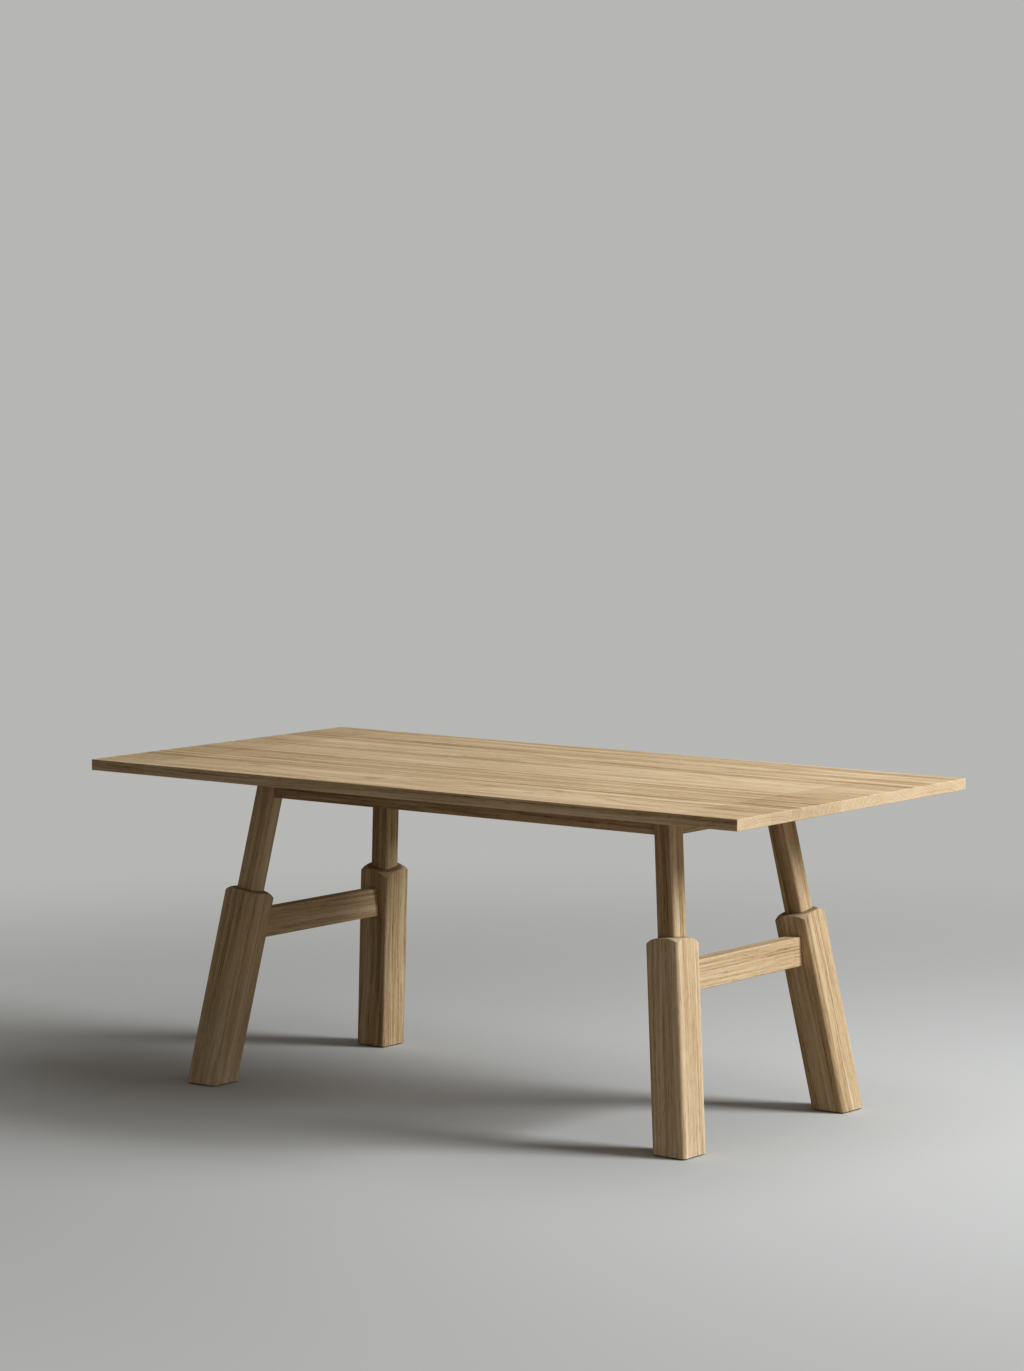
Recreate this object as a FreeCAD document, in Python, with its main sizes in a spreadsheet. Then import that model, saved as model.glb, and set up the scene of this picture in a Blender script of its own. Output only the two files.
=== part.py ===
import FreeCAD, Part
import Sketcher
import math
import os

# Oak dining table: a board top on four splayed legs. Each leg is a slender post that rises out of a
# thick block with a rounded shoulder. Stretchers tie the blocks in pairs at the two ends, and a frame
# of rails under the top joins the four posts. Millimetres; the floor is z = 0, x runs along the table.

SIZES = {
    "top_height": 750,
    "top_length": 1800,
    "top_thickness": 25,
    "board_width_1": 203,
    "board_width_2": 187,
    "board_width_3": 147,
    "board_width_4": 113,
    "board_width_5": 112,
    "board_width_6": 138,
    "end_board_length": 163,
    "edge_radius": 1.2,
    "seam_chamfer": 0.5,
    "tongue_width": 24,
    "tongue_thickness": 8,
    "tongue_stop": 60,
    "foot_inset_long": 239,
    "foot_inset_wide": 141,
    "splay_long": 106,
    "splay_wide": 103,
    "block_width": 85,
    "block_radius": 9,
    "shoulder_height": 460,
    "shoulder_flat": 64,
    "shoulder_overrun": 8,
    "post_width": 48,
    "post_radius": 7,
    "housing_depth": 12,
    "post_tenon_width": 26,
    "post_tenon_length": 110,
    "tenon_end_gap": 2,
    "stretcher_height": 66,
    "stretcher_thickness": 34,
    "stretcher_radius": 2.5,
    "stretcher_drop": 52,
    "stretcher_tenon_thickness": 14,
    "stretcher_tenon_shoulder": 11,
    "rail_height": 60,
    "rail_thickness": 25,
    "rail_radius": 2,
    "rail_tenon_thickness": 9,
    "rail_tenon_shoulder": 12,
    "tenon_wall": 3,
    "glue_gap": 0.1,
    "groove_offset": 11,
    "groove_height": 8,
    "groove_depth": 8,
    "button_length": 38,
    "button_width": 36,
    "button_lip": 2,
    "button_gap": 1,
    "side_button_inset": 116,
    "end_button_inset": 40,
    "button_screw_offset": 21,
    "button_screw_bite": 12,
    "brace_width": 28,
    "brace_height": 38,
    "brace_drop": 4,
    "brace_gap": 11,
    "brace_screw_seat": 12,
    "brace_screw_bite": 16,
    "screw_diameter": 4.2,
    "screw_head_diameter": 8.4,
    "screw_point": 5,
    "screw_clearance": 0.1,
    "glide_diameter": 36,
    "glide_height": 3,
    "glide_chamfer": 1,
    "spigot_diameter": 8,
    "spigot_length": 16,
}
BOARD_COUNT = 6
SIDE_RAIL_BUTTON_COUNT = 4
END_RAIL_BUTTON_COUNT = 2
CORNERS = {
    "front_left": (-1, -1),
    "front_right": (1, -1),
    "back_left": (-1, 1),
    "back_right": (1, 1),
}
SIDES = {"left": -1, "right": 1}
FACES = {"front": -1, "back": 1}

# Formulas over the sheet's cells, shared by the pieces that meet.
BOARD_WIDTHS = [f"sizes.board_width_{board}" for board in range(1, BOARD_COUNT + 1)]
TOP_WIDTH = f"({' + '.join(BOARD_WIDTHS)})"
UNDERSIDE = "(sizes.top_height - sizes.top_thickness)"
MAIN_LENGTH = "(sizes.top_length - 2 * sizes.end_board_length)"
SEAM_X = f"({MAIN_LENGTH} / 2)"
FOOT_X = "(sizes.top_length / 2 - sizes.foot_inset_long)"
FOOT_Y = f"({TOP_WIDTH} / 2 - sizes.foot_inset_wide)"
LEAN_X = f"(sizes.splay_long / {UNDERSIDE})"
LEAN_Y = f"(sizes.splay_wide / {UNDERSIDE})"
LEAN = f"sqrt({LEAN_X} ^ 2 + {LEAN_Y} ^ 2)"
LEG_STRETCH = f"sqrt(1 + {LEAN_X} ^ 2 + {LEAN_Y} ^ 2)"
BLOCK_REACH = "((sizes.block_width / 2 - sizes.block_radius) * sqrt(2) + sizes.block_radius)"
SHOULDER_RIM = f"({BLOCK_REACH} + sizes.shoulder_overrun)"
SHOULDER_RADIUS = f"({SHOULDER_RIM} - sizes.shoulder_flat / 2)"
HOUSING_FLOOR = "(sizes.shoulder_height - sizes.housing_depth)"
RAIL_Z = f"({UNDERSIDE} - sizes.rail_height / 2)"
RAIL_X = f"({FOOT_X} - {LEAN_X} * {RAIL_Z})"
RAIL_Y = f"({FOOT_Y} - {LEAN_Y} * {RAIL_Z})"
RAIL_TENON_HEIGHT = "(sizes.rail_height - 2 * sizes.rail_tenon_shoulder)"
RAIL_TENON_INSET = "(sizes.rail_tenon_thickness / 2 + sizes.tenon_wall)"
STRETCHER_Z = (f"(sizes.shoulder_height / {LEG_STRETCH} - sizes.stretcher_drop"
               " - sizes.stretcher_height / 2)")
STRETCHER_X = f"({FOOT_X} - {LEAN_X} * {STRETCHER_Z})"
STRETCHER_Y = f"({FOOT_Y} - {LEAN_Y} * {STRETCHER_Z})"
STRETCHER_TENON_HEIGHT = "(sizes.stretcher_height - 2 * sizes.stretcher_tenon_shoulder)"
STRETCHER_TENON_INSET = (f"(sizes.post_tenon_width / 2 + {STRETCHER_TENON_HEIGHT} / 2 * {LEAN_Y}"
                         " + sizes.tenon_wall)")
BRACE_LINE = f"(sizes.post_width + sizes.rail_height / 2 * ({LEAN_X} + {LEAN_Y}) + sizes.brace_gap)"
BRACE_NEAR = f"({BRACE_LINE} - sizes.rail_thickness / 2)"
BRACE_FAR = f"({BRACE_NEAR} + sizes.brace_width * sqrt(2))"
BRACE_SCREW_RUN = f"(({BRACE_NEAR} + {BRACE_FAR}) / 2)"
BRACE_Z = f"({UNDERSIDE} - sizes.brace_drop - sizes.brace_height / 2)"
BUTTON_THICKNESS = "(sizes.groove_offset + sizes.groove_height + sizes.button_lip)"
BUTTON_SCREW_LENGTH = f"({BUTTON_THICKNESS} + sizes.button_screw_bite)"
BRACE_SCREW_LENGTH = "(sizes.brace_screw_seat + sizes.brace_screw_bite)"
GLIDE_X = f"({FOOT_X} - {LEAN_X} * sizes.glide_height)"
GLIDE_Y = f"({FOOT_Y} - {LEAN_Y} * sizes.glide_height)"

doc = FreeCAD.newDocument("dining_table")
sheet = doc.addObject("Spreadsheet::Sheet", "sizes")
for row, (alias, value) in enumerate(SIZES.items(), start=1):
    sheet.set(f"A{row}", alias)
    sheet.set(f"B{row}", str(value))
    sheet.setAlias(f"B{row}", alias)
doc.recompute()
nodes = []


def number(formula):
    """The present value of a formula over the sheet."""
    return float(sheet.evalExpression(formula))


def keep(piece, label):
    """Names a finished piece, which is written to a file of that name."""
    piece.Label = label
    nodes.append(piece)


def place(piece, x, y, z, axis=("0", "0", "1"), angle="0"):
    piece.setExpression(
        "Placement",
        f"placement(vector({x}; {y}; {z}); rotation(vector({axis[0]}; {axis[1]}; {axis[2]}); {angle}))",
    )


def new_sketch(body, role, name, offset="0"):
    """An empty sketch on one of the body's own planes, moved along the plane's normal."""
    sketch = body.newObject("Sketcher::SketchObject", name)
    plane = next(feature for feature in body.Origin.OriginFeatures if feature.Role == role)
    sketch.AttachmentSupport = [(plane, "")]
    sketch.MapMode = "FlatFace"
    sketch.setExpression("AttachmentOffset.Base.z", offset)
    return sketch


def bind(sketch, kind, geometry, formula):
    """Adds one driving dimension whose value is a formula over the sheet."""
    index = sketch.addConstraint(Sketcher.Constraint(kind, *geometry, number(formula)))
    sketch.setExpression(f"Constraints[{index}]", formula)


def outline(sketch, points):
    """A closed outline of straight lines through points that are pairs of formulas."""
    corners = [FreeCAD.Vector(number(x), number(y), 0) for x, y in points]
    count = len(corners)
    for index in range(count):
        sketch.addGeometry(Part.LineSegment(corners[index], corners[(index + 1) % count]))
    for index in range(count):
        sketch.addConstraint(Sketcher.Constraint("Coincident", index, 2, (index + 1) % count, 1))
    for index, (x, y) in enumerate(points):
        for kind, formula, axis in (("DistanceX", x, -2), ("DistanceY", y, -1)):
            if formula == "0":
                sketch.addConstraint(Sketcher.Constraint("PointOnObject", index, 1, axis))
            else:
                bind(sketch, kind, (-1, 1, index, 1), formula)


def quarter_round(sketch, side, centre, radius):
    """Makes one side of an outline, which runs outwards and down, a quarter circle about a centre."""
    circle = Part.Circle(FreeCAD.Vector(*map(number, centre), 0), FreeCAD.Vector(0, 0, 1), number(radius))
    arc = sketch.addGeometry(Part.ArcOfCircle(circle, 0, math.pi / 2))
    sketch.toggleConstruction(side)
    sketch.addConstraint(Sketcher.Constraint("Coincident", arc, 1, side, 2))
    sketch.addConstraint(Sketcher.Constraint("Coincident", arc, 2, side, 1))
    bind(sketch, "Radius", (arc,), radius)


def rectangle(sketch, width, height):
    """A rectangle centred on the sketch's origin."""
    left, right = f"-({width}) / 2", f"({width}) / 2"
    low, high = f"-({height}) / 2", f"({height}) / 2"
    outline(sketch, [(left, low), (right, low), (right, high), (left, high)])


def rounded_rectangle(sketch, width, height, radius):
    """A rectangle centred on the sketch's origin, with its four corners rounded."""
    x, y, r = number(width) / 2, number(height) / 2, number(radius)
    corners = [(x - r, -y + r), (x - r, y - r), (-x + r, y - r), (-x + r, -y + r)]
    ends = [((-x + r, -y), (x - r, -y)), ((x, -y + r), (x, y - r)),
            ((x - r, y), (-x + r, y)), ((-x, y - r), (-x, -y + r))]
    quarter = math.pi / 2
    for start, end in ends:
        sketch.addGeometry(Part.LineSegment(FreeCAD.Vector(*start, 0), FreeCAD.Vector(*end, 0)))
    for index, centre in enumerate(corners):
        circle = Part.Circle(FreeCAD.Vector(*centre, 0), FreeCAD.Vector(0, 0, 1), r)
        sketch.addGeometry(Part.ArcOfCircle(circle, (index - 1) * quarter, index * quarter))
    for index in range(4):
        arc = index + 4
        sketch.addConstraint(Sketcher.Constraint("Tangent", index, 2, arc, 1))
        sketch.addConstraint(Sketcher.Constraint("Tangent", arc, 2, (index + 1) % 4, 1))
        sketch.addConstraint(Sketcher.Constraint("Vertical" if index % 2 else "Horizontal", index))
    for arc in (5, 6, 7):
        sketch.addConstraint(Sketcher.Constraint("Equal", 4, arc))
    sketch.addConstraint(Sketcher.Constraint("Symmetric", 0, 1, 2, 1, -1, 1))
    bind(sketch, "Radius", (4,), radius)
    bind(sketch, "DistanceX", (3, 1, 1, 1), width)
    bind(sketch, "DistanceY", (0, 1, 2, 2), height)


def pad(body, sketch, name, length, downwards=False):
    feature = body.newObject("PartDesign::Pad", name)
    feature.Profile = sketch
    feature.setExpression("Length", length)
    feature.Reversed = downwards
    doc.recompute()
    return feature


def turn(body, sketch, name, kind="Revolution"):
    """Turns a sketch about its upright axis, to add material or, as a groove, to take it away."""
    before = body.Shape.Volume if body.Tip else 0
    feature = body.newObject(f"PartDesign::{kind}", name)
    feature.Profile = sketch
    feature.ReferenceAxis = (sketch, ["V_Axis"])
    feature.Angle = 360
    doc.recompute()
    if (body.Shape.Volume > before) == (kind == "Groove"):
        raise RuntimeError(f"{name} in {body.Label} points the wrong way")


def dress(body, kind, base, test, size):
    """Rounds or chamfers the edges of a feature that pass a test on their box."""
    names = [f"Edge{index}" for index, edge in enumerate(base.Shape.Edges, start=1) if test(edge.BoundBox)]
    feature = body.newObject(f"PartDesign::{kind}", f"{kind.lower()}_{base.Name}")
    feature.Base = (base, names)
    feature.setExpression("Radius" if kind == "Fillet" else "Size", size)
    doc.recompute()
    return feature


def box(name, centre, size):
    """A plain block, centred on a point."""
    piece = doc.addObject("Part::Box", name)
    for prop, formula in zip(("Length", "Width", "Height"), size):
        piece.setExpression(prop, formula)
    place(piece, *[f"{middle} - ({side}) / 2" for middle, side in zip(centre, size)])
    return piece


def cut(name, base, *tools):
    for index, tool in enumerate(tools, start=1):
        piece = doc.addObject("Part::Cut", f"{name}_cut_{index}")
        piece.Base = base
        piece.Tool = tool
        base = piece
    return base


def fuse(name, *pieces):
    whole = doc.addObject("Part::MultiFuse", f"{name}_whole")
    whole.Shapes = list(pieces)
    return whole


def copies(name, original, places):
    """A group of separate copies of one piece, each at its own place."""
    links = []
    for index, where in enumerate(places, start=1):
        link = doc.addObject("App::Link", f"{name}_{index}")
        link.LinkedObject = original
        place(link, *where)
        links.append(link)
    group = doc.addObject("Part::Compound", f"{name}_group")
    group.Links = links
    return group


# Wood screws, and the holes that take them


def screw_profile(sketch, length, clearance):
    """Half of a countersunk screw: the head's flat at z = 0, the point upwards."""
    shank = f"(sizes.screw_diameter / 2 + {clearance})"
    head = f"(sizes.screw_head_diameter / 2 + {clearance})"
    outline(sketch, [
        ("0", "0"),
        (head, "0"),
        (shank, f"{head} - {shank}"),
        (shank, f"{length} - sizes.screw_point"),
        ("0", f"{length} + {clearance}"),
    ])


def make_screw(name, length):
    body = doc.addObject("PartDesign::Body", name)
    sketch = new_sketch(body, "XZ_Plane", f"{name}_profile")
    screw_profile(sketch, length, "0")
    turn(body, sketch, f"{name}_turned")
    return body


def make_screw_hole(name, length, access):
    """The screw's hole with its countersink, and room for the head to come in from below."""
    body = doc.addObject("PartDesign::Body", name)
    sketch = new_sketch(body, "XZ_Plane", f"{name}_profile")
    screw_profile(sketch, length, "sizes.screw_clearance")
    turn(body, sketch, f"{name}_turned")
    mouth = new_sketch(body, "XZ_Plane", f"{name}_mouth")
    rim = "(sizes.screw_head_diameter / 2 + sizes.screw_clearance)"
    outline(mouth, [("0", "0"), (rim, "0"), (rim, f"-({access})"), ("0", f"-({access})")])
    turn(body, mouth, f"{name}_bored")
    return body


def rail_frames():
    """Each rail's name, its outward direction, its number of buttons and how far out the last one sits."""
    for name, side in FACES.items():
        reach = f"({RAIL_X} - {BRACE_FAR} - sizes.side_button_inset)"
        yield f"{name}_rail", (0, side), SIDE_RAIL_BUTTON_COUNT, reach
    for name, side in SIDES.items():
        reach = f"({RAIL_Y} - {BRACE_FAR} - sizes.end_button_inset)"
        yield f"{name}_rail", (side, 0), END_RAIL_BUTTON_COUNT, reach


def button_places(inset, height):
    """Where the buttons sit: evenly along each rail, at a distance inside the rail's inner face."""
    for _, (out_x, out_y), count, reach in rail_frames():
        for index in range(count):
            along = f"{reach} * {2 * index + 1 - count} / {count - 1}"
            if out_y:
                x, y = along, f"{out_y} * ({RAIL_Y} - sizes.rail_thickness / 2 - {inset})"
                angle = 90 + 90 * out_y
            else:
                x, y = f"{out_x} * ({RAIL_X} - sizes.rail_thickness / 2 - {inset})", along
                angle = 90 * out_x
            yield x, y, height, ("0", "0", "1"), str(angle)


def brace_screw_places():
    """Two screws in each corner brace, square to the long rail and to the end rail."""
    head = "(sizes.rail_thickness / 2 + sizes.brace_screw_seat)"
    for out_x, out_y in CORNERS.values():
        yield (f"{out_x} * ({RAIL_X} - {BRACE_SCREW_RUN})", f"{out_y} * ({RAIL_Y} - {head})", BRACE_Z,
               ("1", "0", "0"), str(-90 * out_y))
        yield (f"{out_x} * ({RAIL_X} - {head})", f"{out_y} * ({RAIL_Y} - {BRACE_SCREW_RUN})", BRACE_Z,
               ("0", "1", "0"), str(90 * out_x))


SCREW_INSET = "sizes.button_screw_offset"
BUTTON_FOOT = f"({UNDERSIDE} - {BUTTON_THICKNESS})"
button_screw = make_screw("button_screw", BUTTON_SCREW_LENGTH)
button_screw_hole = make_screw_hole("button_screw_hole", BUTTON_SCREW_LENGTH, "sizes.button_lip")
brace_screw = make_screw("brace_screw", BRACE_SCREW_LENGTH)
brace_screw_hole = make_screw_hole("brace_screw_hole", BRACE_SCREW_LENGTH, "sizes.brace_width")
button_holes = copies("button_hole", button_screw_hole, button_places(SCREW_INSET, BUTTON_FOOT))
brace_holes = copies("brace_hole", brace_screw_hole, brace_screw_places())
keep(copies("button_screw_copy", button_screw, button_places(SCREW_INSET, BUTTON_FOOT)), "button_screws")
keep(copies("brace_screw_copy", brace_screw, brace_screw_places()), "brace_screws")


# The top: six edge-glued boards, and at each end a row of short boards joined on by a loose tongue


def make_board(name, x, length, index, seams, tools):
    """One board. Its outer arrises are eased, and its ends at a cross seam have a fine chamfer."""
    y = f"(-{TOP_WIDTH} / 2 + {' + '.join(['0'] + BOARD_WIDTHS[:index])} + {BOARD_WIDTHS[index]} / 2)"
    body = doc.addObject("PartDesign::Body", f"{name}_blank")
    sketch = new_sketch(body, "XY_Plane", f"{name}_plan")
    rectangle(sketch, length, BOARD_WIDTHS[index])
    last = pad(body, sketch, f"{name}_board", "sizes.top_thickness")
    half_length, half_width = number(length) / 2, number(BOARD_WIDTHS[index]) / 2
    thickness = number("sizes.top_thickness")
    near = number("sizes.seam_chamfer") / 4

    def on_end(limits, side):
        return abs(limits.XMin - side * half_length) < near and abs(limits.XMax - side * half_length) < near

    def on_side(limits, side):
        return abs(limits.YMin - side * half_width) < near and abs(limits.YMax - side * half_width) < near

    def at_seam(limits):
        return limits.ZMin > thickness - near and any(on_end(limits, side) for side in seams)

    def at_rim(limits):
        rims = [on_end(limits, side) for side in SIDES.values() if side not in seams]
        rims += [on_side(limits, -1)] if index == 0 else []
        rims += [on_side(limits, 1)] if index == BOARD_COUNT - 1 else []
        level = limits.ZMax - limits.ZMin < near
        return any(rims) if level else len([rim for rim in rims if rim]) == 2

    last = dress(body, "Chamfer", last, at_seam, "sizes.seam_chamfer")
    if any(at_rim(edge.BoundBox) for edge in last.Shape.Edges):
        dress(body, "Fillet", last, at_rim, "sizes.edge_radius")
    place(body, x, y, UNDERSIDE)
    keep(cut(name, body, *tools), name)


tongue_length = f"({TOP_WIDTH} - 2 * sizes.tongue_stop)"
tongue_z = f"({UNDERSIDE} + sizes.top_thickness / 2)"
slots = {}
for side_name, side in SIDES.items():
    middle = (f"{side} * {SEAM_X}", "0", tongue_z)
    tongue_size = ("sizes.tongue_width", tongue_length, "sizes.tongue_thickness")
    keep(box(f"{side_name}_tongue", middle, tongue_size), f"{side_name}_end_tongue")
    slots[side] = box(f"{side_name}_slot", middle, (
        "sizes.tongue_width + 2 * sizes.glue_gap",
        f"{tongue_length} + 2 * sizes.glue_gap",
        "sizes.tongue_thickness + 2 * sizes.glue_gap",
    ))
for index in range(BOARD_COUNT):
    make_board(f"top_board_{index + 1}", "0", MAIN_LENGTH, index, (-1, 1), [*slots.values(), button_holes])
    for side_name, side in SIDES.items():
        middle = f"{side} * ({SEAM_X} + sizes.end_board_length / 2)"
        make_board(f"{side_name}_end_board_{index + 1}", middle, "sizes.end_board_length", index, (-side,),
                   [slots[side], button_holes])


# The legs: a block with a rounded shoulder, a post housed in its top, and a glide under the foot


def place_leg(body, out_x, out_y):
    """Stands a piece on the leg's axis, which leans in towards the middle of the table."""
    axis = (f"{out_y} * {LEAN_Y}", f"{-out_x} * {LEAN_X}", "0")
    place(body, f"{out_x} * {FOOT_X}", f"{out_y} * {FOOT_Y}", "0", axis, f"atan({LEAN})")


def make_block_blank(name, corner):
    """The block before its joints are cut: a rounded square bar with a turned shoulder.

    The shoulder is flat about the post and falls off in a round, which runs out beyond the bar's corners.
    """
    top, above = "sizes.shoulder_height", "sizes.block_width"
    below_floor = f"(sizes.block_width * {LEAN})"
    body = doc.addObject("PartDesign::Body", f"{name}_blank")
    section = new_sketch(body, "XY_Plane", f"{name}_section", f"-{below_floor}")
    rounded_rectangle(section, "sizes.block_width", "sizes.block_width", "sizes.block_radius")
    pad(body, section, f"{name}_bar", f"{top} + {above} + {below_floor}")
    shoulder = new_sketch(body, "XZ_Plane", f"{name}_shoulder")
    flat, foot = "sizes.shoulder_flat / 2", f"{top} - {SHOULDER_RADIUS}"
    outline(shoulder, [
        ("0", top),
        (flat, top),
        (SHOULDER_RIM, foot),
        (f"2 * {SHOULDER_RIM}", foot),
        (f"2 * {SHOULDER_RIM}", f"{top} + 2 * {above}"),
        ("0", f"{top} + 2 * {above}"),
    ])
    quarter_round(shoulder, 1, (flat, foot), SHOULDER_RADIUS)
    turn(body, shoulder, f"{name}_rounding", kind="Groove")
    place_leg(body, *corner)
    return body


def make_post_blank(name, corner, gap="0", end="0"):
    """The post before its mortises are cut: a rounded square bar on a square tenon.

    With a gap it is the room that the post takes in the block.
    """
    body = doc.addObject("PartDesign::Body", f"{name}_blank")
    section = new_sketch(body, "XY_Plane", f"{name}_section", HOUSING_FLOOR)
    width = f"sizes.post_width + 2 * {gap}"
    rounded_rectangle(section, width, width, f"sizes.post_radius + {gap}")
    over_length = f"{UNDERSIDE} * {LEG_STRETCH} + sizes.post_width * {LEAN}"
    pad(body, section, f"{name}_bar", f"{over_length} - {HOUSING_FLOOR}")
    tenon = new_sketch(body, "XY_Plane", f"{name}_tenon", HOUSING_FLOOR)
    tenon_width = f"sizes.post_tenon_width + 2 * {gap}"
    rectangle(tenon, tenon_width, tenon_width)
    pad(body, tenon, f"{name}_stub", f"sizes.post_tenon_length + {end}", downwards=True)
    place_leg(body, *corner)
    return body


def make_glide(name, out_x, out_y):
    """A low round glide with a bevelled rim, held by a spigot in the foot."""
    body = doc.addObject("PartDesign::Body", name)
    sketch = new_sketch(body, "XZ_Plane", f"{name}_profile")
    rim, spigot = "sizes.glide_diameter / 2", "sizes.spigot_diameter / 2"
    outline(sketch, [
        ("0", "0"),
        (f"{rim} - sizes.glide_chamfer", "0"),
        (rim, "sizes.glide_chamfer"),
        (rim, "sizes.glide_height"),
        (spigot, "sizes.glide_height"),
        (spigot, "sizes.glide_height + sizes.spigot_length"),
        ("0", "sizes.glide_height + sizes.spigot_length"),
    ])
    turn(body, sketch, f"{name}_turned")
    place(body, f"{out_x} * {GLIDE_X}", f"{out_y} * {GLIDE_Y}", "0")
    keep(body, name)


def make_glide_hole(name, out_x, out_y):
    hole = doc.addObject("Part::Cylinder", name)
    hole.setExpression("Radius", "sizes.spigot_diameter / 2 + sizes.glue_gap")
    hole.setExpression("Height", "sizes.glide_height + sizes.spigot_length + sizes.tenon_end_gap")
    place(hole, f"{out_x} * {GLIDE_X}", f"{out_y} * {GLIDE_Y}", "0")
    return hole


block_blanks = {name: make_block_blank(f"{name}_block", corner) for name, corner in CORNERS.items()}
post_blanks = {name: make_post_blank(f"{name}_post", corner) for name, corner in CORNERS.items()}


# Stretchers and rails: bars fitted between the legs, with tenons into them


def make_bar(name, role, centre, section, radius, length, ends):
    """A bar between two legs, with its arrises eased and its ends scribed to the legs it meets."""
    body = doc.addObject("PartDesign::Body", f"{name}_blank")
    sketch = new_sketch(body, role, f"{name}_section", f"-({length}) / 2")
    rounded_rectangle(sketch, *section, radius)
    pad(body, sketch, f"{name}_bar", length)
    place(body, *centre)
    return cut(f"{name}_scribed", body, *ends)


def tenon_bars(name, centre, long_axis, length, thickness, height):
    """The bar whose ends are a pair of tenons, and the roomier one that cuts their mortises."""
    bars = []
    for part, gap, end in (("tenons", "0", "0"), ("mortises", "sizes.glue_gap", "sizes.tenon_end_gap")):
        long_side, short_side = f"{length} + 2 * {end}", f"{thickness} + 2 * {gap}"
        size = (long_side, short_side) if long_axis == "x" else (short_side, long_side)
        bars.append(box(f"{name}_{part}", centre, (*size, f"{height} + 2 * {gap}")))
    return bars


leg_mortises = {name: [] for name in CORNERS}
for side_name, side in SIDES.items():
    name = f"{side_name}_stretcher"
    centre = (f"{side} * {STRETCHER_X}", "0", STRETCHER_Z)
    ends = [block_blanks[f"{face}_{side_name}"] for face in FACES]
    section = ("sizes.stretcher_thickness", "sizes.stretcher_height")
    bar = make_bar(name, "XZ_Plane", centre, section, "sizes.stretcher_radius", f"2 * {STRETCHER_Y}", ends)
    tenons, mortises = tenon_bars(
        name, centre, "y", f"2 * ({STRETCHER_Y} - {STRETCHER_TENON_INSET})",
        "sizes.stretcher_tenon_thickness", STRETCHER_TENON_HEIGHT)
    for face in FACES:
        leg_mortises[f"{face}_{side_name}"].append(mortises)
    keep(fuse(name, bar, tenons), name)

post_mortises = {name: [] for name in CORNERS}
for name, (out_x, out_y), _, _ in rail_frames():
    centre = (f"{out_x} * {RAIL_X}", f"{out_y} * {RAIL_Y}", RAIL_Z)
    corners = [corner for corner, (x, y) in CORNERS.items() if out_x * x + out_y * y == 1]
    half_span, role, long_axis = (RAIL_X, "YZ_Plane", "x") if out_y else (RAIL_Y, "XZ_Plane", "y")
    section = ("sizes.rail_thickness", "sizes.rail_height")
    bar = make_bar(name, role, centre, section, "sizes.rail_radius", f"2 * {half_span}",
                   [post_blanks[corner] for corner in corners])
    tenons, mortises = tenon_bars(
        name, centre, long_axis, f"2 * ({half_span} - {RAIL_TENON_INSET})",
        "sizes.rail_tenon_thickness", RAIL_TENON_HEIGHT)
    for corner in corners:
        post_mortises[corner].append(mortises)
    groove_middle = "(sizes.rail_thickness / 2 - sizes.groove_depth / 2)"
    groove_z = f"({UNDERSIDE} - sizes.groove_offset - sizes.groove_height / 2)"
    groove_x, groove_y = f"{out_x} * ({RAIL_X} - {groove_middle})", f"{out_y} * ({RAIL_Y} - {groove_middle})"
    run = (f"2 * ({half_span} - {BRACE_FAR})", "sizes.groove_depth")
    groove = box(f"{name}_groove", (groove_x, groove_y, groove_z),
                 (*(run if out_y else run[::-1]), "sizes.groove_height"))
    keep(cut(name, fuse(name, bar, tenons), groove, brace_holes), name)

room = ("2 * sizes.top_length", "2 * sizes.top_length")
above_posts = box("above_posts", ("0", "0", f"({UNDERSIDE} + sizes.post_width)"),
                  (*room, "2 * sizes.post_width"))
below_feet = box("below_feet", ("0", "0", "(sizes.glide_height - sizes.block_width)"),
                 (*room, "2 * sizes.block_width"))
for name, corner in CORNERS.items():
    glide_hole = make_glide_hole(f"{name}_glide_hole", *corner)
    post_room = make_post_blank(f"{name}_post_room", corner, "sizes.glue_gap", "sizes.tenon_end_gap")
    block = cut(f"{name}_block", block_blanks[name], post_room, below_feet, glide_hole, *leg_mortises[name])
    keep(block, f"{name}_leg_block")
    keep(cut(f"{name}_post", post_blanks[name], above_posts, *post_mortises[name]), f"{name}_leg_post")
    make_glide(f"{name}_glide", *corner)


# Corner braces across the inner corners of the rail frame, and the buttons that hold the top down


def make_brace(name, out_x, out_y):
    body = doc.addObject("PartDesign::Body", f"{name}_blank")
    sketch = new_sketch(body, "XY_Plane", f"{name}_plan")
    face = "(sizes.rail_thickness / 2)"
    runs = [(BRACE_NEAR, face), (BRACE_FAR, face), (face, BRACE_FAR), (face, BRACE_NEAR)]
    outline(sketch, [(f"{-out_x} * {run_x}", f"{-out_y} * {run_y}") for run_x, run_y in runs])
    pad(body, sketch, f"{name}_block", "sizes.brace_height")
    place(body, f"{out_x} * {RAIL_X}", f"{out_y} * {RAIL_Y}", f"{BRACE_Z} - sizes.brace_height / 2")
    keep(cut(name, body, brace_holes), name)


def make_button():
    """A wooden button: its tongue lies in the rail's groove, its top against the boards."""
    body = doc.addObject("PartDesign::Body", "button")
    sketch = new_sketch(body, "YZ_Plane", "button_profile", "-sizes.button_width / 2")
    tongue_end = "-(sizes.groove_depth - sizes.button_gap)"
    tongue_top = "-sizes.groove_offset"
    tongue_foot = "-(sizes.groove_offset + sizes.groove_height - sizes.button_gap)"
    outline(sketch, [
        ("sizes.button_gap", "0"),
        ("sizes.button_length", "0"),
        ("sizes.button_length", f"-{BUTTON_THICKNESS}"),
        ("sizes.button_gap", f"-{BUTTON_THICKNESS}"),
        ("sizes.button_gap", tongue_foot),
        (tongue_end, tongue_foot),
        (tongue_end, tongue_top),
        ("sizes.button_gap", tongue_top),
    ])
    pad(body, sketch, "button_block", "sizes.button_width")
    return body


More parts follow.
